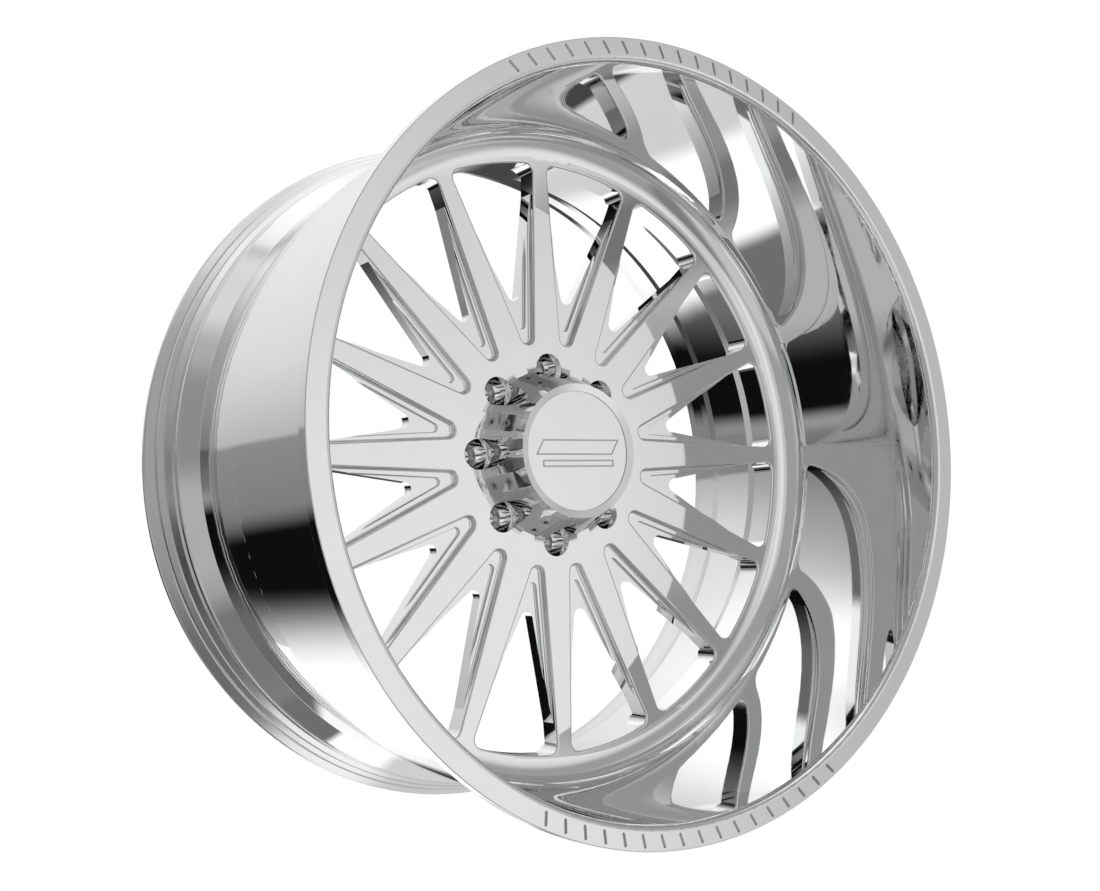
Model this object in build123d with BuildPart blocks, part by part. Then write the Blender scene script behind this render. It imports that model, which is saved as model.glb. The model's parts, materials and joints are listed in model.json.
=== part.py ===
# Forged eight-lug wheel rim, 26 x 14 inch, deep dish, sixteen spokes.
# Frame: origin on the wheel's axis, half way between the two flange faces.
# +Y runs along the axis to the back (the hub side), the dished face looks to -Y,
# +Z is up through one lug hole, +X is to the right of the face. Millimetres.
from build123d import *
import os
from math import asin, atan2, cos, degrees, hypot, radians, sin, tan

os.makedirs("parts", exist_ok=True)

# ---- driving dimensions -------------------------------------------------------------
FLANGE_RADIUS = 347.5        # outside of both tyre flanges
OVERALL_WIDTH = 380.4        # over the flanges, 15 inch
FRONT = -OVERALL_WIDTH / 2   # Y of the front flange face
REAR = OVERALL_WIDTH / 2     # Y of the rear flange face
BEAD_SEAT_RADIUS = 330.2     # 26 inch
FLANGE_WIDTH = 12.4          # leaves 14 inch between the flanges

FACE = 7.8                   # Y of the flat front face shared by hub and spokes
FACE_RADIUS = 292.5          # where that face turns up into the dish
COVE_RADIUS = 26.0           # of the corner between face and dish wall
THROAT_RADIUS = 326.2        # front end of the dish wall
LIP_ROUND = (4.8, 7.0)       # radial and axial size of the lip's rounded inner edge

JOINT = 13.8                 # Y of the shoulder where the rear barrel meets the face
JOINT_RADIUS = 324.0         # outside of the barrel there
SPIGOT_RADIUS = 316.0
RING_BACK = FACE + 28.0      # Y of the back of the outer ring
SPOKE_BACK = FACE + 23.0     # Y of the back of the spokes

PAD = 76.3                   # Y of the hub's mounting pad, offset -76
PAD_RADIUS = 108.0
HUB_BORE_RADIUS = 62.6       # 8 x 170 hub pilot
HUB_WEB = 32.0               # Y of the back of the web behind the cap

SPOKES = 16
HALF_PITCH = 180 / SPOKES

LUGS = 8
LUG_CIRCLE_RADIUS = 85.0     # 8 x 170
LUG_MOUTH_RADIUS = 14.7
LUG_WELL_RADIUS = 11.8
LUG_WELL_DEPTH = 25.0
SEAT_DEPTH = 20.0            # length of each steel lug seat
STUD_HOLE_RADIUS = 7.7

PAD_POCKET_LENGTH = 8.0      # between the ends' centres of each lightening pocket
PAD_POCKET_WIDTH = 24.0
PAD_POCKET_DEPTH = 46.0

MARKS = 17                   # strokes in each of the two rows on the lip
MARK_PITCH = 3.4             # degrees
MARK_RADIUS = 338.6
MARK_SLANT = 22.0            # degrees off the radius
MARK_LENGTH = 12.4
MARK_WIDTH = 2.8
MARK_DEPTH = 1.2

CAP_BASE_RADIUS = 83.4       # where the cap's cone would meet the face
CAP_TOP_RADIUS = 64.4
CAP_HEIGHT = 46.5
CAP_BORE_RADIUS = 62.3
DISC_RADIUS = 57.4
SCALLOP_RADIUS = 15.0        # round each lug hole
FLAT_WIDTH = 17.0            # of the tongue-shaped flats between the lugs
FLAT_DEPTH = 0.8
FLAT_TOP = 39.0              # height of the tongue's tip above the face
SCREWS = ((8.2, 67.5), (24.8, 62.0))  # height above the face and radius the point bears on
SET_SCREW_RADIUS = 4.0       # M8
RING_SEAT = FACE + 6.0       # floor of the recess for the retainer ring
RING_RADIUS = 66.0
SLEEVE_OUTER = 62.0
SLEEVE_INNER = 56.0
SLEEVE_END = -22.0           # Y of the sleeve's front end
FOOT_RADIUS = 67.5           # of the sleeve's thicker foot
FOOT_END = -3.2              # Y where the foot stops
RING_SCREWS = 8
RING_SCREW_CIRCLE = 49.0
RING_SCREW_RADIUS = 3.0      # M6
RING_SCREW_REACH = 14.0      # below the ring's seat

# the valve is drawn along -X and then turned about the axle to its place
VALVE_ANGLE = 83.4           # from +X towards +Z
VALVE_Y = 70.0
VALVE_OUTER_SEAT = -315.5    # X of the spot face in the tyre chamber
VALVE_INNER_SEAT = -309.0    # X of the spot face on the axle's side
VALVE_SEAT_RADIUS = 11.0
VALVE_HOLE_RADIUS = 5.75

AXLE = Axis((0, 0, 0), (0, 1, 0))


def facing(y):
    """Plane square to the axle: local x is +X, local y is +Z, and it looks to -Y."""
    return Plane(origin=(0, y, 0), x_dir=(1, 0, 0), z_dir=(0, -1, 0))


def around(shape, count, start=0.0):
    """Copies of a shape round the axle; start is the first angle, from +X towards +Z."""
    return [shape.rotate(AXLE, -start - i * 360 / count) for i in range(count)]


def ring(points):
    """Solid of revolution about the axle from a closed profile of (radius, Y) points."""
    with BuildPart() as body:
        with BuildSketch(Plane.XY):
            with BuildLine():
                Polyline(*points, close=True)
            make_face()
        revolve(axis=AXLE)
    return body.part


def save(part, name):
    """Label a finished piece and write it as its own STEP file."""
    part.label = name
    export_step(part, f"parts/{name}.step")


# ---- face forging: hub, spokes, dish wall and front flange --------------------------
FRONT_OUTSIDE = [
    (FLANGE_RADIUS, FRONT),
    (FLANGE_RADIUS, FRONT + FLANGE_WIDTH),
    (339.0, FRONT + 13.6),
    (334.0, FRONT + 17.0),
    (331.2, FRONT + 22.0),
    (BEAD_SEAT_RADIUS, FRONT + 26.0),
    (329.2, -158.0),
    (329.6, -155.0),
    (331.0, -151.5),
    (330.1, -147.0),
    (JOINT_RADIUS, JOINT),
    (SPIGOT_RADIUS, JOINT),
    (SPIGOT_RADIUS, RING_BACK),
    (285.0, RING_BACK),
    (282.0, SPOKE_BACK),
    (150.0, SPOKE_BACK),
    (118.0, PAD - 12.0),
    (PAD_RADIUS, PAD),
    (HUB_BORE_RADIUS, PAD),
    (HUB_BORE_RADIUS, HUB_WEB),
    (40.0, HUB_WEB),
    (40.0, FACE + 6.0),
    (66.0, FACE + 6.0),
    (66.0, FACE),
    (FACE_RADIUS, FACE),
]
THROAT = (THROAT_RADIUS, FRONT + LIP_ROUND[1])
COVE_CENTRE = (FACE_RADIUS, FACE - COVE_RADIUS)
# the dish wall leaves the cove on a tangent and ends at the throat
wall_reach = hypot(THROAT[0] - COVE_CENTRE[0], THROAT[1] - COVE_CENTRE[1])
wall_bearing = atan2(THROAT[1] - COVE_CENTRE[1], THROAT[0] - COVE_CENTRE[0])
COVE_END = degrees(wall_bearing) + 90 - degrees(asin(COVE_RADIUS / wall_reach))

# Each pocket between two spokes is three nested wedges about one line through the axle:
# distance of the apex from the axle, half angle and tip radius.
LEDGE = (86.4, 13.68, 7.5)
WEB = (111.8, 14.46, 4.7)
WINDOW = (141.6, 19.8, 6.9)
LEDGE_DEPTH = 6.8
WEB_DEPTH = 10.2
WINDOW_END_RADIUS = 289.5
WINDOW_CORNER = 9.0
WEB_END_RADIUS = 245.0
EDGE_ROUND = 2.0             # on the edges of the spokes
CORNER_ROUND = 1.0           # on the corners of flanges, bead seats and humps
LEDGE_ROUND = 2.0            # at the foot of the ledge's wall
WEB_ROUND = 1.2              # at the foot of the second step's wall


def wedge(apex, half_angle, tip, end_radius, corner=0.0):
    """Face of a wedge that opens outwards along local x and stops at end_radius."""
    reach = end_radius + 30
    rise = (reach - apex) * tan(radians(half_angle))
    with BuildSketch() as sketch:
        with BuildLine():
            Polyline((apex, 0), (reach, rise), (reach, -rise), close=True)
        make_face()
        Circle(end_radius, mode=Mode.INTERSECT)
        fillet(sketch.vertices().sort_by(Axis.X)[0], tip)
        if corner:
            fillet(sketch.vertices().sort_by(Axis.X)[-2:], corner)
    return sketch.sketch


ledge_outline = wedge(*LEDGE, WINDOW_END_RADIUS, WINDOW_CORNER)
with BuildPart() as ledge_cut:
    with BuildSketch(facing(FACE + LEDGE_DEPTH)):
        add(ledge_outline)
    extrude(amount=LEDGE_DEPTH + 4)
    fillet(ledge_cut.faces().sort_by(Axis.Y)[-1].edges(), LEDGE_ROUND)
with BuildPart() as web_cut:
    with BuildSketch(facing(FACE + WEB_DEPTH)):
        add(wedge(*WEB, WEB_END_RADIUS))
    extrude(amount=WEB_DEPTH)
    fillet(web_cut.faces().sort_by(Axis.Y)[-1].edges(), WEB_ROUND)
with BuildPart() as window_cut:
    with BuildSketch(facing(RING_BACK + 5)):
        add(wedge(*WINDOW, WINDOW_END_RADIUS))
        add(ledge_outline, mode=Mode.INTERSECT)
    extrude(amount=RING_BACK + 5 - FACE)

with BuildPart() as lug_cut:
    with BuildSketch(facing(PAD + 5)):
        with Locations((0, LUG_CIRCLE_RADIUS)):
            Circle(STUD_HOLE_RADIUS)
    extrude(amount=PAD + 5 - FACE)
    with BuildSketch(facing(FACE + LUG_WELL_DEPTH + SEAT_DEPTH)):
        with Locations((0, LUG_CIRCLE_RADIUS)):
            Circle(LUG_WELL_RADIUS)
    extrude(amount=LUG_WELL_DEPTH + SEAT_DEPTH)
    with BuildSketch(facing(FACE + 4.4)):
        with Locations((0, LUG_CIRCLE_RADIUS)):
            Circle(LUG_WELL_RADIUS)
    with BuildSketch(facing(FACE)):
        with Locations((0, LUG_CIRCLE_RADIUS)):
            Circle(LUG_MOUTH_RADIUS)
    loft()

with BuildPart() as pad_pocket_cut:
    with BuildSketch(facing(PAD + 5)):
        with Locations((LUG_CIRCLE_RADIUS + 1, 0)):
            SlotCenterToCenter(PAD_POCKET_LENGTH, PAD_POCKET_WIDTH)
    extrude(amount=PAD_POCKET_DEPTH + 5)

# a plain row of slanted strokes engraved in the top and bottom of the lip, with sloping sides
with BuildPart() as mark_cut:
    for sunk in (0.0, MARK_DEPTH):
        with BuildSketch(facing(FRONT + sunk)):
            with Locations(Location((MARK_RADIUS, 0, 0), (0, 0, MARK_SLANT))):
                SlotOverall(MARK_LENGTH - 2 * sunk, MARK_WIDTH - 2 * sunk)
    loft()
MARK_ANGLES = [middle + (i - (MARKS - 1) / 2) * MARK_PITCH for middle in (90, 270) for i in range(MARKS)]

with BuildPart() as screw_thread_cut:
    with BuildSketch(facing(RING_SEAT + RING_SCREW_REACH)):
        with Locations((RING_SCREW_CIRCLE, 0)):
            Circle(RING_SCREW_RADIUS)
    extrude(amount=RING_SCREW_REACH + 1)

with BuildPart() as wheel_face:
    with BuildSketch(Plane.XY):
        with BuildLine():
            Polyline(*FRONT_OUTSIDE)
            cove = CenterArc(COVE_CENTRE, COVE_RADIUS, 90, COVE_END - 90)
            Line(cove @ 1, THROAT)
            EllipticalCenterArc(
                (THROAT[0] + LIP_ROUND[0], THROAT[1]), *LIP_ROUND, 180, arc_size=90
            )
            Line((THROAT[0] + LIP_ROUND[0], FRONT), FRONT_OUTSIDE[0])
        section = make_face()
        flange_corners = [v for v in section.vertices() if v.Y < -145 and v.X > 328.9]
        fillet([v for v in flange_corners if v.Y > FRONT + 1 or v.X > 347], CORNER_ROUND)
    revolve(axis=AXLE)
    for cut in (ledge_cut, web_cut, window_cut):
        add(around(cut.part, SPOKES, HALF_PITCH), mode=Mode.SUBTRACT)
    spoke_edges = [
        e for e in wheel_face.edges().filter_by_position(Axis.Y, FACE - 0.01, FACE + 0.01)
        if 105 < hypot((e @ 0.5).X, (e @ 0.5).Z) < 291
    ]
    fillet(spoke_edges, EDGE_ROUND)
    add(around(lug_cut.part, LUGS, 90), mode=Mode.SUBTRACT)
    add(around(pad_pocket_cut.part, LUGS, 67.5), mode=Mode.SUBTRACT)
    add([mark_cut.part.rotate(AXLE, -angle) for angle in MARK_ANGLES], mode=Mode.SUBTRACT)
    add(around(screw_thread_cut.part, RING_SCREWS, 67.5), mode=Mode.SUBTRACT)
save(wheel_face.part, "wheel_face")

# ---- rear barrel --------------------------------------------------------------------
REAR_OUTSIDE = [
    (JOINT_RADIUS, JOINT),
    (317.0, 115.8),
    (329.5, 136.8),
    (331.0, 139.0),
    (331.2, 141.0),
    (330.0, 143.5),
    (330.2, 146.0),
    (332.0, 148.8),
    (335.4, 159.6),
    (336.6, 161.0),
    (339.8, 169.0),
    (340.2, 171.6),
    (341.4, 172.6),
    (346.4, 184.6),
    (FLANGE_RADIUS, 186.4),
    (FLANGE_RADIUS, REAR),
    (336.0, REAR),
    (326.0, REAR - 9.0),
    (323.0, 168.0),
    (320.5, 150.0),
    (318.5, 139.0),
    (309.0, 119.0),
    (306.0, 64.0),
    (309.0, 54.0),
    (SPIGOT_RADIUS, 46.0),
    (SPIGOT_RADIUS, JOINT),
]
with BuildPart() as valve_cut:
    with BuildSketch(Plane.YZ.offset(VALVE_OUTER_SEAT)):
        with Locations((VALVE_Y, 0)):
            Circle(VALVE_SEAT_RADIUS)
    extrude(amount=-20)
    with BuildSketch(Plane.YZ.offset(VALVE_INNER_SEAT)):
        with Locations((VALVE_Y, 0)):
            Circle(VALVE_SEAT_RADIUS)
    extrude(amount=20)
    with BuildSketch(Plane.YZ.offset(VALVE_OUTER_SEAT - 1)):
        with Locations((VALVE_Y, 0)):
            Circle(VALVE_HOLE_RADIUS)
    extrude(amount=VALVE_INNER_SEAT - VALVE_OUTER_SEAT + 2)


def to_valve_side(shape):
    """Turn something drawn along -X to the valve's place round the axle."""
    return shape.rotate(AXLE, 180 - VALVE_ANGLE)


with BuildPart() as rear_barrel:
    with BuildSketch(Plane.XY):
        with BuildLine():
            Polyline(*REAR_OUTSIDE, close=True)
        section = make_face()
        fillet([v for v in section.vertices() if v.Y > 110], CORNER_ROUND)
    revolve(axis=AXLE)
    add(to_valve_side(valve_cut.part), mode=Mode.SUBTRACT)
save(rear_barrel.part, "rear_barrel")

WELD_LEG = 7.0
with BuildPart() as weld_bead:
    with BuildSketch(Plane.XY):
        with BuildLine():
            Polyline(
                (SPIGOT_RADIUS - WELD_LEG, RING_BACK),
                (SPIGOT_RADIUS, RING_BACK),
                (SPIGOT_RADIUS, RING_BACK + WELD_LEG),
            )
            SagittaArc(
                (SPIGOT_RADIUS, RING_BACK + WELD_LEG), (SPIGOT_RADIUS - WELD_LEG, RING_BACK), -1.2
            )
        make_face()
    revolve(axis=AXLE)
save(weld_bead.part, "weld_bead")

# ---- steel lug seats ----------------------------------------------------------------
SEAT_FRONT = FACE + LUG_WELL_DEPTH
with BuildPart() as lug_seat:
    with BuildSketch(Plane.XY):
        with BuildLine():
            Polyline(
                (STUD_HOLE_RADIUS, SEAT_FRONT + 6.2),
                (11.3, SEAT_FRONT),
                (LUG_WELL_RADIUS, SEAT_FRONT),
                (LUG_WELL_RADIUS, SEAT_FRONT + SEAT_DEPTH),
                (STUD_HOLE_RADIUS, SEAT_FRONT + SEAT_DEPTH),
                close=True,
            )
        make_face()
    revolve(axis=AXLE)
seat_up = lug_seat.part.moved(Location((0, 0, LUG_CIRCLE_RADIUS)))
save(Compound(children=around(seat_up, LUGS)), "lug_seats")

# ---- centre cap ---------------------------------------------------------------------
CAP_SLOPE = (CAP_BASE_RADIUS - CAP_TOP_RADIUS) / CAP_HEIGHT
CAP_TILT = degrees(atan2(CAP_SLOPE, 1))
CAP_TOP = FACE - CAP_HEIGHT
DISC_FLOOR = CAP_TOP + 4.5
DISC_THICKNESS = 2.0
with BuildPart() as cap_body:
    with BuildSketch(Plane.XY):
        with BuildLine():
            Polyline(
                (FOOT_RADIUS + 0.3, FACE),
                (CAP_BASE_RADIUS + 4.5, FACE),
                (CAP_BASE_RADIUS + 4.5, FACE - 0.4),
                (CAP_BASE_RADIUS - 0.4 * CAP_SLOPE, FACE - 0.4),
                (CAP_TOP_RADIUS, CAP_TOP),
                (DISC_RADIUS, CAP_TOP + 1.6),
                (DISC_RADIUS, DISC_FLOOR),
                (0, DISC_FLOOR),
                (0, DISC_FLOOR + 4.0),
                (54.0, DISC_FLOOR + 4.0),
                (CAP_BORE_RADIUS, -24.5),
                (CAP_BORE_RADIUS, FOOT_END - 0.4),
                (FOOT_RADIUS + 0.3, FOOT_END - 0.4),
                close=True,
            )
        cap_face = make_face()
        corners = cap_face.vertices()
        fillet([v for v in corners if abs(v.Y - FACE + 0.4) < 0.01 and v.X < 84], 6.0)
        fillet([v for v in cap_face.vertices() if abs(v.Y - CAP_TOP) < 0.01], 1.0)
    revolve(axis=AXLE)
    with BuildSketch(facing(FACE + 1)):
        with PolarLocations(LUG_CIRCLE_RADIUS, LUGS, 90):
            Circle(SCALLOP_RADIUS)
    extrude(amount=CAP_HEIGHT + 5, mode=Mode.SUBTRACT)


def on_cone(height, sunk=0.0):
    """Plane lying on the cap's cone above +X: local x up the cone, z straight out of it."""
    out = Vector(cos(radians(CAP_TILT)), -sin(radians(CAP_TILT)), 0)
    foot = Vector(CAP_BASE_RADIUS - height * CAP_SLOPE, FACE - height, 0)
    return Plane(
        origin=foot - out * sunk,
        x_dir=(-sin(radians(CAP_TILT)), -cos(radians(CAP_TILT)), 0),
        z_dir=out,
    )


TONGUE_REACH = FLAT_TOP / cos(radians(CAP_TILT))
with BuildPart() as flat_cut:
    with BuildSketch(on_cone(0, FLAT_DEPTH)):
        with Locations((TONGUE_REACH / 2 - 6, 0)):
            SlotOverall(TONGUE_REACH + 12, FLAT_WIDTH)
    extrude(amount=8)
# each screw runs square to its flat, its point stopping just short of the sleeve
set_screws = []
set_screw_cuts = []
for height, bearing in SCREWS:
    run = (CAP_BASE_RADIUS - height * CAP_SLOPE - bearing) / cos(radians(CAP_TILT))
    length = run - FLAT_DEPTH - 1.0
    with BuildPart() as screw:
        with BuildSketch(on_cone(height, FLAT_DEPTH + 0.2)):
            Circle(SET_SCREW_RADIUS)
        extrude(amount=-length)
        chamfer(screw.faces().sort_by(Axis.X)[0].edges(), 2.0)
        chamfer(screw.faces().sort_by(Axis.X)[-1].edges(), 0.4)
        with BuildSketch(on_cone(height, FLAT_DEPTH + 0.2)):
            RegularPolygon(2.0, 6, major_radius=False)
        extrude(amount=-4.0, mode=Mode.SUBTRACT)
    set_screws.append(screw.part)
    with BuildPart() as screw_hole:
        with BuildSketch(on_cone(height, -2)):
            Circle(SET_SCREW_RADIUS)
        extrude(amount=-(length + 4.5))
    set_screw_cuts.append(screw_hole.part)
with BuildPart() as cap_shell:
    add(cap_body.part)
    add(around(flat_cut.part, LUGS, 67.5), mode=Mode.SUBTRACT)
    for hole in set_screw_cuts:
        add(around(hole, LUGS, 67.5), mode=Mode.SUBTRACT)
save(cap_shell.part, "cap_body")
save(Compound(children=[s for one in set_screws for s in around(one, LUGS, 67.5)]), "cap_set_screws")

BAR_GROOVE = 1.6             # width of the outline of each of the two bars engraved in the disc
BAR_DEPTH = 0.4
BARS = ((88.0, 15.0, 9.0, 3.5), (82.0, 7.0, 0.0, -12.0))  # length, height, lean, centre above the axle
with BuildPart() as cap_disc:
    with BuildSketch(facing(DISC_FLOOR)):
        Circle(DISC_RADIUS)
    extrude(amount=DISC_THICKNESS)
    chamfer(cap_disc.faces().sort_by(Axis.Y)[0].edges(), 0.5)
    with BuildSketch(facing(DISC_FLOOR - DISC_THICKNESS)):
        for length, height, lean, above in BARS:
            for inset, mode in ((0.0, Mode.ADD), (2 * BAR_GROOVE, Mode.SUBTRACT)):
                x, y = (length - inset) / 2, (height - inset) / 2
                shift = lean * y / height
                with BuildLine():
                    Polyline(
                        (-x - shift, above - y),
                        (x - shift, above - y),
                        (x + shift, above + y),
                        (-x + shift, above + y),
                        close=True,
                    )
                make_face(mode=mode)
    extrude(amount=-BAR_DEPTH, mode=Mode.SUBTRACT)
save(cap_disc.part, "cap_disc")

# ---- retainer ring the cap is clamped to --------------------------------------------
GROOVE = (-9.8, -6.0)        # Y of the sides of the seal's groove
GROOVE_RADIUS = 59.7
RETAINER = [
    (42.0, FACE),
    (SLEEVE_INNER, FACE),
    (SLEEVE_INNER, SLEEVE_END),
    (SLEEVE_OUTER - 1, SLEEVE_END),
    (SLEEVE_OUTER, SLEEVE_END + 1),
    (SLEEVE_OUTER, GROOVE[0]),
    (GROOVE_RADIUS, GROOVE[0]),
    (GROOVE_RADIUS, GROOVE[1]),
    (SLEEVE_OUTER, GROOVE[1]),
    (SLEEVE_OUTER, FOOT_END),
    (FOOT_RADIUS, FOOT_END),
    (FOOT_RADIUS, FACE),
    (RING_RADIUS, FACE),
    (RING_RADIUS, RING_SEAT),
    (42.0, RING_SEAT),
]
with BuildPart() as retainer:
    add(ring(RETAINER))
    with BuildSketch(facing(RING_SEAT + 1)):
        with PolarLocations(RING_SCREW_CIRCLE, RING_SCREWS, 22.5):
            Circle(RING_SCREW_RADIUS)
    extrude(amount=10, mode=Mode.SUBTRACT)
save(retainer.part, "cap_retainer")

SEAL_SECTION = (CAP_BORE_RADIUS - GROOVE_RADIUS) / 2
with BuildPart() as o_ring:
    with BuildSketch(Plane.XY):
        with Locations((GROOVE_RADIUS + SEAL_SECTION, sum(GROOVE) / 2)):
            Circle(SEAL_SECTION)
    revolve(axis=AXLE)
save(o_ring.part, "cap_o_ring")

with BuildPart() as ring_screw:
    with BuildSketch(facing(RING_SEAT + RING_SCREW_REACH - 2)):
        with Locations((RING_SCREW_CIRCLE, 0)):
            Circle(RING_SCREW_RADIUS)
    extrude(amount=RING_SEAT + RING_SCREW_REACH - 2 - FACE)
    with BuildSketch(facing(FACE)):
        with Locations((RING_SCREW_CIRCLE, 0)):
            Circle(5.0)
    extrude(amount=6.0)
    chamfer(ring_screw.faces().sort_by(Axis.Y)[0].edges(), 0.5)
    with BuildSketch(facing(FACE - 6.0)):
        with Locations((RING_SCREW_CIRCLE, 0)):
            RegularPolygon(2.5, 6, major_radius=False)
    extrude(amount=-3.0, mode=Mode.SUBTRACT)
save(Compound(children=around(ring_screw.part, RING_SCREWS, 67.5)), "cap_ring_screws")

# ---- tyre valve ---------------------------------------------------------------------
# Every valve piece is drawn along the valve's own line, which starts at the head in the
# tyre chamber and runs towards the axle.
HEAD = VALVE_OUTER_SEAT - 5.0
SHAFT_RADIUS = 4.0


def valve_plane(reach):
    """Plane square to the valve at this distance from the outer face of its head."""
    return Plane(origin=(HEAD + reach, VALVE_Y, 0), x_dir=(0, 1, 0), z_dir=(1, 0, 0))


def turned(*steps):
    """Stack of cylinders or tubes along the valve: (start, end, outer, inner) each."""
    with BuildPart() as body:
        for start, end, outer, inner in steps:
            with BuildSketch(valve_plane(start)):
                Circle(outer)
                if inner:
                    Circle(inner, mode=Mode.SUBTRACT)
            extrude(amount=end - start)
    return body.part


def save_valve(part, name):
    """Turn a finished valve piece to its place and save it."""
    save(to_valve_side(part), name)


SEAT_TO_SEAT = VALVE_INNER_SEAT - VALVE_OUTER_SEAT
INNER = 5.0 + SEAT_TO_SEAT   # distance of the inner seat along the valve
BORE_STEP = 21.5             # where the stem's narrow bore opens into the core's chamber
save_valve(
    turned(
        (0, 3, 8.5, 1.5), (3, BORE_STEP, SHAFT_RADIUS, 1.5), (BORE_STEP, 44, SHAFT_RADIUS, 2.6)
    ),
    "valve_stem",
)
save_valve(
    turned((3, 5, 8.5, SHAFT_RADIUS), (5, INNER - 1.5, VALVE_HOLE_RADIUS, SHAFT_RADIUS)),
    "valve_grommet",
)
save_valve(turned((INNER, INNER + 1.5, 8.5, SHAFT_RADIUS)), "valve_washer")
with BuildPart() as valve_nut:
    with BuildSketch(valve_plane(INNER + 1.5)):
        RegularPolygon(7.0, 6, major_radius=False)
        Circle(SHAFT_RADIUS, mode=Mode.SUBTRACT)
    extrude(amount=6)
    with BuildSketch(valve_plane(INNER + 1.5)):
        Circle(7.6)
    extrude(amount=6, mode=Mode.INTERSECT)
save_valve(valve_nut.part, "valve_nut")

CORE = (26.0, 32.0, 38.0)    # seat, shoulder and outer end of the core's body
PIN_STROKE = 1.2
save_valve(turned((CORE[0], CORE[1], 2.6, 0.98), (CORE[1], CORE[2], 2.6, 2.1)), "valve_core_body")
save_valve(
    turned((21.0, CORE[2], 0.9, 0), (CORE[2], CORE[2] + 1, 1.9, 0), (39, 43, 0.9, 0)),
    "valve_core_pin",
)
save_valve(turned((CORE[0] - 2.4, CORE[0], 2.2, 0.9)), "valve_core_cup")

COIL_RADIUS = 1.5
WIRE_RADIUS = 0.22
COIL_START = CORE[1] + WIRE_RADIUS
COIL_LENGTH = CORE[2] - PIN_STROKE - 2 * WIRE_RADIUS - CORE[1]
with BuildPart() as spring:
    with BuildLine():
        coil = Helix(
            pitch=COIL_LENGTH / 5,
            height=COIL_LENGTH,
            radius=COIL_RADIUS,
            center=(HEAD + COIL_START, VALVE_Y, 0),
            direction=(1, 0, 0),
        )
    with BuildSketch(Plane(origin=coil @ 0, z_dir=coil % 0)):
        Circle(WIRE_RADIUS)
    sweep(is_frenet=True)
save_valve(spring.part, "valve_core_spring")

TIP = 44.0
SEAL = 1.2
with BuildPart() as valve_cap:
    with BuildSketch(valve_plane(TIP - 9)):
        Circle(5.0)
        Circle(SHAFT_RADIUS + 0.08, mode=Mode.SUBTRACT)
        with PolarLocations(5.15, 20):
            Circle(0.45, mode=Mode.SUBTRACT)
    extrude(amount=9 + SEAL)
    with BuildSketch(valve_plane(TIP + SEAL)):
        Circle(5.0)
    extrude(amount=1.6)
    chamfer(valve_cap.faces().sort_by(Axis.X)[-1].edges(), 0.7)
save_valve(valve_cap.part, "valve_cap")
save_valve(turned((TIP, TIP + SEAL, SHAFT_RADIUS + 0.08, 0)), "valve_cap_seal")
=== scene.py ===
"""Looks for the forged wheel: polished metal, a tyre valve, a pale floor and a soft studio."""
import json
import math

import bpy
from mathutils import Matrix, Vector


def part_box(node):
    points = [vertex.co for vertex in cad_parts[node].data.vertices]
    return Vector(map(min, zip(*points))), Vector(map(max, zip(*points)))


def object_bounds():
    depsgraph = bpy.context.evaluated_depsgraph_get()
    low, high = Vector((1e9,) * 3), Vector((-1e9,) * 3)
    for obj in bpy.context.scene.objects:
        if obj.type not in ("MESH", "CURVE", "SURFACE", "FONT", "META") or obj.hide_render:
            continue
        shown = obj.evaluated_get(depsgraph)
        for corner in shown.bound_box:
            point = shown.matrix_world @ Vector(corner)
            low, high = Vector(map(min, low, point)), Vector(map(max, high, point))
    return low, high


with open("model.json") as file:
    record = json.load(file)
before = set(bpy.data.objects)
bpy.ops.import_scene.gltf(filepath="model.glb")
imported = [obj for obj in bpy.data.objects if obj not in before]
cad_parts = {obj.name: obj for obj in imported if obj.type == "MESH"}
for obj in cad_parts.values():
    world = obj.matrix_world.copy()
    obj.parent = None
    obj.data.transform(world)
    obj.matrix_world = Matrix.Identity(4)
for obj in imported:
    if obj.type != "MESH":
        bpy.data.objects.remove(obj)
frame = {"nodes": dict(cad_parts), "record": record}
CAD_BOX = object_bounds()
nodes = frame["nodes"]

# ---- camera ---------------------------------------------------------------------------
CAMERA_PLACE = Vector((-0.7491, -1.1006, -0.0880))
CAMERA_LOOK = Vector((0.5572, 0.8273, 0.0722)).normalized()
CAMERA_LENS = 44.77          # mm
SENSOR_WIDTH = 36            # mm
NEAREST_SEEN = 0.01          # metres
UPRIGHT = Vector((0.0519, 0.0, 0.9987)).normalized()   # up in the picture's studio

# ---- studio: degrees, and brightness as linear light -------------------------------------
# azimuth is counted from straight in front, positive to the right of the face; a sky is a
# list of (elevation, brightness); a pair is the range over which a change runs
BACK_SKY = (
    (-90, 1.20), (-20, 1.20), (-4, 0.24), (4.3, 0.29), (4.9, 0.53), (10, 0.66), (15, 0.78),
    (21, 0.84), (30, 0.93), (40, 1.20), (48, 1.20), (54, 0.60), (60, 1.04), (68, 1.25), (90, 1.25),
)
FRONT_SKY = (
    (-90, 0.50), (-55, 0.38), (50, 0.38), (62, 0.55), (75, 1.05), (90, 1.15),
)
LEFT_END = (-127.0, -121.0)  # azimuths over which the back gives way to the front
RIGHT_END = (127.0, 133.0)
LEFT_HALF = (20, 0)          # azimuths that tell the left from the right
RIGHT_HALF = (0, 20)

BACK_DIM = 0.44              # share of the back's light left at its two ends
DIM_TURN = (150, 128)        # azimuths, either side, over which it falls to that
DIM_LOW = (-6, 4)            # elevations over which that loss begins
DIM_HIGH = (58, 50)          # and over which it ends again

LOW_LIGHT = (-16, -21)       # elevations below which the back falls away to the sides
LOW_LEFT = (-164, -157)
LOW_RIGHT = (163, 155)
LOSS_LEFT = 0.85
LOSS_RIGHT = 0.4

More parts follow.
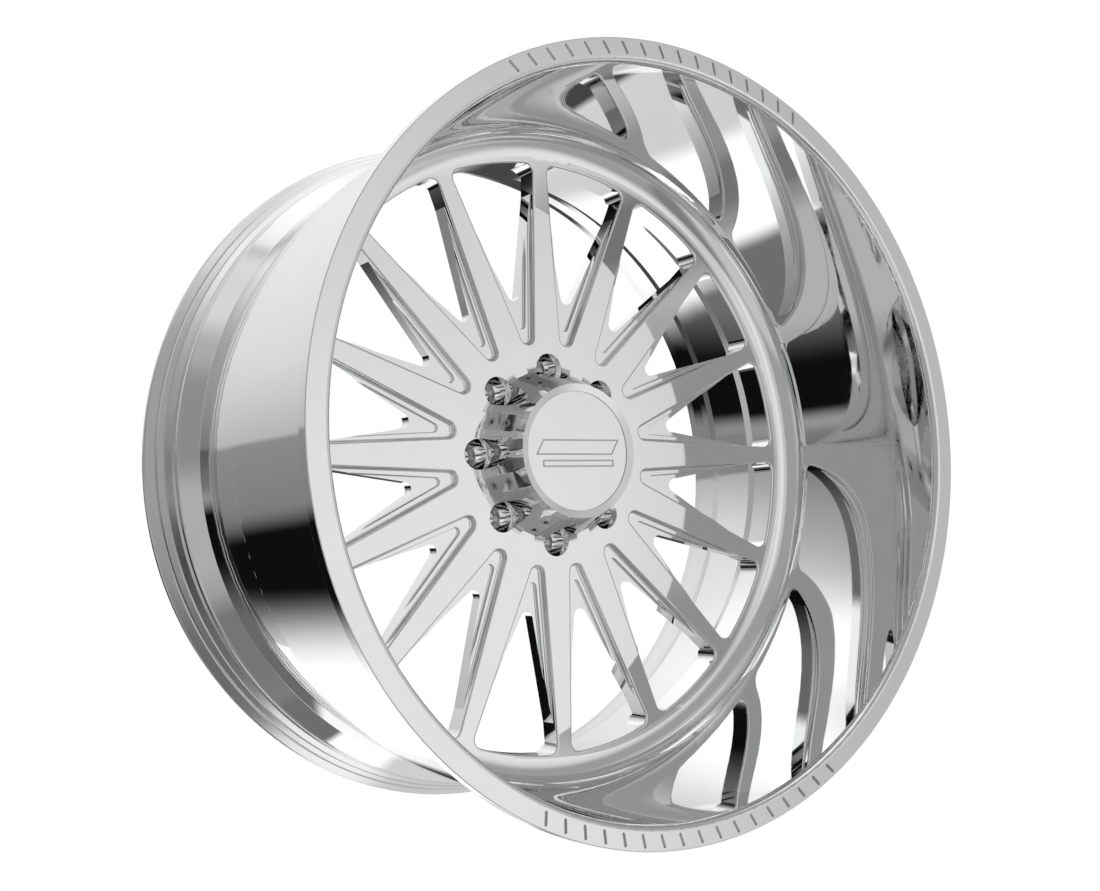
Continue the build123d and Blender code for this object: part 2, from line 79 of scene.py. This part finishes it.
# dark strip: azimuth range, then the elevation of an edge at the range's two ends
STRIP_TOP = (-180, -130, -4.8, -7.8)
STRIP_BOTTOM = (-180, -159, -16.0, -28.0)
STRIP_TOP_SOFT = 2.5
STRIP_BOTTOM_SOFT = 8.0
STRIP_LEVEL = 0.005
# its paler end, behind and to the right
PALE_BOTTOM = (180, 130, -14.0, -19.0)
PALE_BOTTOM_SOFT = 2.0
PALE_TOP = (5.0, -3.0)
PALE_LEVEL = 0.065

# soft boxes and shades of the front: azimuth range, elevation range, softness, gain
BOXES = (
    ((-27, 11), (-24, 24), 5.0, 0.24),
    ((-12, 4), (-22, 22), 7.0, 0.26),
    ((12, 44), (-28, 24), 9.0, 0.34),
    ((16, 40), (-18, 10), 9.0, 0.16),
    ((48, 130), (-24, 24), 7.0, 0.22),
    ((-95, -14), (-72, -27), 5.0, 0.23),
    ((60, 122), (-72, -30), 7.0, 0.28),
    ((-122, -90), (36, 64), 5.0, 0.40),
    ((-128, -88), (-30, 36), 6.0, 0.10),
)
SHADES = (
    ((-6, 14), (-72, -27), 4.0, -0.14),
    ((-130, -97), (-72, -36), 4.0, -0.17),
    ((-105, -91), (-2, 26), 5.0, -0.18),
)
STUDIO_GAIN = 1.03
BOUNCES = 6                  # the dish and the hub see themselves many times over

# ---- surfaces: metres ---------------------------------------------------------------------
AXLE = (0.0, 1.0, 0.0)
ACROSS = (1.0, 0.0, 1.0)     # leaves only what lies square to the axle
CLOUD_SCALE = 22.0
CLOUD_DETAIL = 5.0
CLOUD_SPREAD = (0.3, 0.7)
SMEAR_SCALE = 160.0
SMEAR_SPREAD = (0.12, 0.38)
WELD_RADIUS = 0.312
WELD_WANDER = 0.004          # how far the weld's beads stray, as a turn in radians
ROUND_FROM = 0.2915          # outside this everything nearly radial is turned
NEARLY_RADIAL = (0.03, 0.06)  # sideways lean of a surface that still counts as turned
FLOOR_SIZE = 40.0


class Graph:
    """Short names for building a node tree."""

    def __init__(self, tree, keep=False):
        self.tree = tree
        if not keep:
            tree.nodes.clear()

    def node(self, kind, **settings):
        made = self.tree.nodes.new(kind)
        for name, value in settings.items():
            setattr(made, name, value)
        return made

    def plug(self, value, socket):
        if isinstance(value, (int, float, tuple)):
            socket.default_value = value
        else:
            self.tree.links.new(value, socket)

    def fill(self, made, values, sockets):
        for value, socket in zip(values, sockets):
            self.plug(value, socket)
        return made

    def math(self, operation, *values):
        made = self.node("ShaderNodeMath", operation=operation)
        return self.fill(made, values, made.inputs).outputs[0]

    def product(self, first, *others):
        for other in others:
            first = self.math("MULTIPLY", first, other)
        return first

    def vector(self, operation, *values):
        made = self.node("ShaderNodeVectorMath", operation=operation)
        result = "Value" if operation in ("DOT_PRODUCT", "LENGTH") else "Vector"
        return self.fill(made, values, made.inputs).outputs[result]

    def ramp(self, value, low, high, start=0.0, end=1.0, smooth=True):
        kind = "SMOOTHSTEP" if smooth else "LINEAR"
        made = self.node("ShaderNodeMapRange", interpolation_type=kind)
        return self.fill(made, (value, low, high, start, end), made.inputs).outputs[0]

    def blend(self, factor, first, second):
        made = self.node("ShaderNodeMix", data_type="FLOAT")
        sockets = (made.inputs[0], made.inputs[2], made.inputs[3])
        return self.fill(made, (factor, first, second), sockets).outputs[0]

    def noise(self, place, scale):
        made = self.node("ShaderNodeTexNoise")
        made.inputs["Scale"].default_value = scale
        self.plug(place, made.inputs["Vector"])
        return made

    def sky(self, elevation, stops):
        """Brightness from elevation through a list of (degrees, brightness) stops."""
        brightest = 2.0      # a curve only holds values up to 1
        made = self.node("ShaderNodeFloatCurve")
        curve = made.mapping.curves[0]
        for number, (degree, bright) in enumerate(stops):
            x, y = (degree + 90) / 180, bright / brightest
            if number in (0, len(stops) - 1):
                curve.points[0 if number == 0 else -1].location = (x, y)
            else:
                curve.points.new(x, y)
        for point in curve.points:
            point.handle_type = "VECTOR"
        made.mapping.update()
        self.plug(self.ramp(elevation, -90, 90, smooth=False), made.inputs["Value"])
        return self.math("MULTIPLY", made.outputs[0], brightest)


def build_back(g, azimuth, elevation):
    """The studio behind the wheel: bright, dimmer at its ends, with a dark strip low down."""
    back = g.sky(elevation, BACK_SKY)
    is_left = g.ramp(azimuth, *LEFT_HALF)
    is_right = g.ramp(azimuth, *RIGHT_HALF)

    # the light low behind falls away towards the left and, less, towards the right
    low_left = g.product(g.ramp(azimuth, *LOW_LEFT), is_left, LOSS_LEFT)
    low_right = g.product(g.ramp(azimuth, *LOW_RIGHT), is_right, LOSS_RIGHT)
    loss = g.product(g.ramp(elevation, *LOW_LIGHT), g.math("ADD", low_left, low_right))
    back = g.product(back, g.math("SUBTRACT", 1.0, loss))

    turned = g.math("ABSOLUTE", azimuth)
    dim = g.product(g.ramp(elevation, *DIM_LOW), g.ramp(elevation, *DIM_HIGH),
                    g.ramp(turned, *DIM_TURN, 0.0, 1 - BACK_DIM))
    back = g.product(back, g.math("SUBTRACT", 1.0, dim))

    # dark strip: sinks and widens from straight behind towards the left
    top = g.ramp(azimuth, *STRIP_TOP, smooth=False)
    bottom = g.ramp(azimuth, *STRIP_BOTTOM, smooth=False)
    under_top = g.ramp(g.math("SUBTRACT", top, elevation), -STRIP_TOP_SOFT, STRIP_TOP_SOFT)
    over_bottom = g.ramp(g.math("SUBTRACT", elevation, bottom), -STRIP_BOTTOM_SOFT, STRIP_BOTTOM_SOFT)
    back = g.blend(g.product(under_top, over_bottom, is_left), back, STRIP_LEVEL)

    bottom = g.ramp(azimuth, *PALE_BOTTOM)
    over_bottom = g.ramp(g.math("SUBTRACT", elevation, bottom), -PALE_BOTTOM_SOFT, PALE_BOTTOM_SOFT)
    pale = g.product(over_bottom, g.ramp(elevation, *PALE_TOP), is_right)
    return g.blend(pale, back, PALE_LEVEL)


def build_front(g, azimuth, elevation):
    """The studio before the wheel: grey, with soft boxes and shades."""
    ahead = g.sky(elevation, FRONT_SKY)
    for spread, height, soft, gain in BOXES + SHADES:
        sides = []
        for value, (start, end) in ((azimuth, spread), (elevation, height)):
            sides.append(g.ramp(value, start - soft, start + soft))
            sides.append(g.ramp(value, end + soft, end - soft))
        ahead = g.math("ADD", ahead, g.product(*sides, gain))
    return ahead


def build_world():
    """Studio seen in the metal; the camera itself sees plain white."""
    world = bpy.data.worlds.new("studio")
    world.use_nodes = True
    bpy.context.scene.world = world
    g = Graph(world.node_tree)
    way = g.node("ShaderNodeTexCoord").outputs["Generated"]
    right = UPRIGHT.cross(Vector((0, -1, 0))).normalized()
    front = right.cross(UPRIGHT)
    upwards, rightwards, forwards = (
        g.vector("DOT_PRODUCT", way, tuple(side)) for side in (UPRIGHT, right, front))
    degree = 180 / math.pi
    elevation = g.product(g.math("ARCSINE", upwards), degree)
    azimuth = g.product(g.math("ARCTAN2", rightwards, forwards), degree)

    back = build_back(g, azimuth, elevation)
    ahead = build_front(g, azimuth, elevation)
    seen = g.blend(g.ramp(azimuth, *LEFT_END), back, ahead)
    seen = g.blend(g.ramp(azimuth, *RIGHT_END), seen, back)

    mirrored = g.node("ShaderNodeBackground")
    g.plug(seen, mirrored.inputs["Color"])
    mirrored.inputs["Strength"].default_value = STUDIO_GAIN
    plain = g.node("ShaderNodeBackground")
    plain.inputs["Color"].default_value = (1, 1, 1, 1)
    mix = g.node("ShaderNodeMixShader")
    is_camera = g.node("ShaderNodeLightPath").outputs["Is Camera Ray"]
    g.fill(mix, (is_camera, mirrored.outputs[0], plain.outputs[0]), mix.inputs)
    g.plug(mix.outputs[0], g.node("ShaderNodeOutputWorld").inputs[0])


def build_camera():
    right = CAMERA_LOOK.cross(UPRIGHT).normalized()
    up = right.cross(CAMERA_LOOK)
    data = bpy.data.cameras.new("camera")
    data.lens = CAMERA_LENS
    data.sensor_width = SENSOR_WIDTH
    data.clip_start = NEAREST_SEEN
    camera = bpy.data.objects.new("camera", data)
    turn = Matrix((right, up, -CAMERA_LOOK)).transposed().to_4x4()
    camera.matrix_world = Matrix.Translation(CAMERA_PLACE) @ turn
    bpy.context.scene.collection.objects.link(camera)
    bpy.context.scene.camera = camera


# ---- finishes ---------------------------------------------------------------------------
def grain_height(g, place, cloud, kind, size):
    """Height of a fine relief: rings of a lathe, the beads of a weld, or specks."""
    if kind == "turned":
        reach = g.vector("LENGTH", g.vector("MULTIPLY", place, ACROSS))
        along = g.math("ADD", reach, g.vector("DOT_PRODUCT", place, AXLE))
        return g.math("SINE", g.product(along, 2 * math.pi / size))
    if kind == "beads":
        split = g.node("ShaderNodeSeparateXYZ")
        g.plug(place, split.inputs[0])
        turn = g.math("ARCTAN2", split.outputs[2], split.outputs[0])
        arc = g.product(g.math("ADD", turn, g.product(cloud, WELD_WANDER)), WELD_RADIUS)
        return g.math("ABSOLUTE", g.math("SINE", g.product(arc, math.pi / size)))
    return g.noise(place, 1 / size).outputs[0]


def finish(name, colour, roughness, metallic=1.0, mottle=0.0, smear=0.0, grain=None):
    """Shader with cloudy colour and roughness, and a grain: (kind, size, depth)."""
    made = bpy.data.materials.new(name)
    made.use_nodes = True
    shader = made.node_tree.nodes["Principled BSDF"]
    shader.inputs["Metallic"].default_value = metallic
    g = Graph(made.node_tree, keep=True)
    place = g.node("ShaderNodeTexCoord").outputs["Object"]
    clouds = g.noise(place, CLOUD_SCALE)
    clouds.inputs["Detail"].default_value = CLOUD_DETAIL
    cloud = clouds.outputs[0]
    tint = g.node("ShaderNodeMix", data_type="RGBA")
    g.plug(g.ramp(cloud, *CLOUD_SPREAD), tint.inputs[0])
    tint.inputs[6].default_value = (*(c * (1 - mottle) for c in colour), 1)
    tint.inputs[7].default_value = (*colour, 1)
    g.plug(tint.outputs[2], shader.inputs["Base Color"])
    smears = g.product(cloud, g.noise(place, SMEAR_SCALE).outputs[0])
    g.plug(g.ramp(smears, *SMEAR_SPREAD, roughness, roughness + smear), shader.inputs["Roughness"])
    if grain:
        kind, size, depth = grain
        bump = g.node("ShaderNodeBump")
        bump.inputs["Distance"].default_value = depth
        g.plug(grain_height(g, place, cloud, kind, size), bump.inputs["Height"])
        g.plug(bump.outputs[0], shader.inputs["Normal"])
    return made


def true_turning(made):
    """Take the small sideways facet error out of the surfaces that are turned about the axle."""
    g = Graph(made.node_tree, keep=True)
    shader = made.node_tree.nodes["Principled BSDF"]
    surface = g.node("ShaderNodeNewGeometry")
    normal = surface.outputs["Normal"]
    place = g.vector("MULTIPLY", surface.outputs["Position"], ACROSS)
    radial = g.vector("NORMALIZE", place)
    sideways = g.vector("CROSS_PRODUCT", radial, AXLE)
    lean = g.vector("DOT_PRODUCT", normal, sideways)
    outside = g.math("GREATER_THAN", g.vector("LENGTH", place), ROUND_FROM)
    nearly, hardly = NEARLY_RADIAL
    share = g.product(g.ramp(g.math("ABSOLUTE", lean), hardly, nearly), outside)
    error = g.node("ShaderNodeVectorMath", operation="SCALE")
    g.plug(sideways, error.inputs[0])
    g.plug(g.product(lean, share), error.inputs["Scale"])
    turned = g.vector("NORMALIZE", g.vector("SUBTRACT", normal, error.outputs[0]))
    g.plug(turned, shader.inputs["Normal"])
    return made


def dull_and_painted_shade(made, front, span, reach, shade, dull):
    """Darken and dull what lies in a span behind a front face, at some distance from the axle; where
    nothing is dulled, as on the cap's side, the darkening is painted shade.
    """
    g = Graph(made.node_tree, keep=True)
    shader = made.node_tree.nodes["Principled BSDF"]
    place = g.node("ShaderNodeTexCoord").outputs["Object"]
    depth = g.vector("DOT_PRODUCT", place, AXLE)
    radius = g.vector("LENGTH", g.vector("MULTIPLY", place, ACROSS))
    inside = g.product(
        g.math("GREATER_THAN", depth, front + span[0]),
        g.math("LESS_THAN", depth, front + span[1]),
        g.math("GREATER_THAN", radius, reach[0]),
        g.math("LESS_THAN", radius, reach[1]),
    )
    colour = shader.inputs["Base Color"].links[0].from_socket
    tint = g.node("ShaderNodeMix", data_type="RGBA", blend_type="MULTIPLY")
    g.plug(inside, tint.inputs[0])
    g.plug(colour, tint.inputs[6])
    tint.inputs[7].default_value = (shade, shade, shade, 1)
    g.plug(tint.outputs[2], shader.inputs["Base Color"])
    rough = shader.inputs["Roughness"].links[0].from_socket
    g.plug(g.math("ADD", rough, g.product(inside, dull)), shader.inputs["Roughness"])
    return made


def polished(name):
    return finish(name, (0.825, 0.835, 0.835), 0.012, mottle=0.015, smear=0.03)


FINISHES = {
    "polished_aluminium": true_turning(polished("polished aluminium")),
    "turned_aluminium": finish("turned aluminium", (0.80, 0.81, 0.82), 0.20, mottle=0.05, smear=0.12,
                               grain=("turned", 0.0006, 0.00001)),
    "weld": finish("weld", (0.66, 0.67, 0.68), 0.32, mottle=0.2, smear=0.2,
                   grain=("beads", 0.0035, 0.0008)),
    "seat_steel": finish("plated steel", (0.70, 0.70, 0.71), 0.10, mottle=0.06, smear=0.1,
                         grain=("turned", 0.0008, 0.000004)),
    "screw_steel": finish("screw steel", (0.60, 0.60, 0.61), 0.16, mottle=0.12, smear=0.14,
                          grain=("speckle", 0.0012, 0.00002)),
    "spring_steel": finish("spring steel", (0.50, 0.50, 0.52), 0.26, mottle=0.1, smear=0.15),
    "valve_brass": finish("nickel plate", (0.72, 0.70, 0.66), 0.12, mottle=0.08, smear=0.12,
                          grain=("speckle", 0.0010, 0.00001)),
    "seal_rubber": finish("seal rubber", (0.024, 0.024, 0.025), 0.52, metallic=0.0, mottle=0.25,
                          smear=0.18, grain=("speckle", 0.0008, 0.00004)),
}
for entry in frame["record"]["subparts"]:
    piece = nodes[entry["node"]]
    piece.data.materials.clear()
    piece.data.materials.append(FINISHES[entry["material_slot"]])

# polished pieces that are duller in places: the strokes cut into the lip, the bars cut into the
# cap's disc and the rear bead seat with its flange, which the tyre hides. The cap's side is not
# duller: its colour is darkened as painted shade.
# (name of the polish, turned about the axle, span behind the piece's front, distance from the
# axle, share of the colour left, roughness added)
DULL_AND_SHADED_PLACES = {
    "wheel_face": ("engraved lip", True, (0.00012, 0.0014), (0.3318, 0.3462), 0.55, 0.20),
    "cap_disc": ("engraved disc", False, (0.0001, 0.0006), (0.0, 0.0565), 0.55, 0.20),
    "rear_barrel": ("turned bead seat", True, (0.1237, 0.1762), (0.3285, 0.3500), 0.86, 0.20),
    # the cap's side: painted shade, its colour darkened with no roughness added
    "cap_body": ("cap", False, (0.006, 0.2), (0.0, 0.2), 0.84, 0.0),
}
for node, (label, is_turned, *place_and_look) in DULL_AND_SHADED_PLACES.items():
    front_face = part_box(node)[0][1]
    metal = dull_and_painted_shade(polished("polished aluminium, " + label), front_face, *place_and_look)
    nodes[node].data.materials[0] = true_turning(metal) if is_turned else metal

build_world()
build_camera()
bpy.context.scene.view_settings.view_transform = "Standard"
bpy.context.scene.cycles.glossy_bounces = BOUNCES
bpy.context.scene.cycles.max_bounces = BOUNCES

# ---- floor: seen by the camera, left out of the mirror so the studio stays clean -----------
wheel_bottom = CAD_BOX[0][2]
bpy.ops.mesh.primitive_plane_add(size=FLOOR_SIZE, location=(0, 0, wheel_bottom))
floor = bpy.context.object
floor.name = "floor"
floor.visible_glossy = False
pale_floor = bpy.data.materials.new("pale floor")
pale_floor.use_nodes = True
graph = Graph(pale_floor.node_tree)
lit = graph.node("ShaderNodeEmission")
graph.plug(lit.outputs[0], graph.node("ShaderNodeOutputMaterial").inputs[0])
floor.data.materials.append(pale_floor)
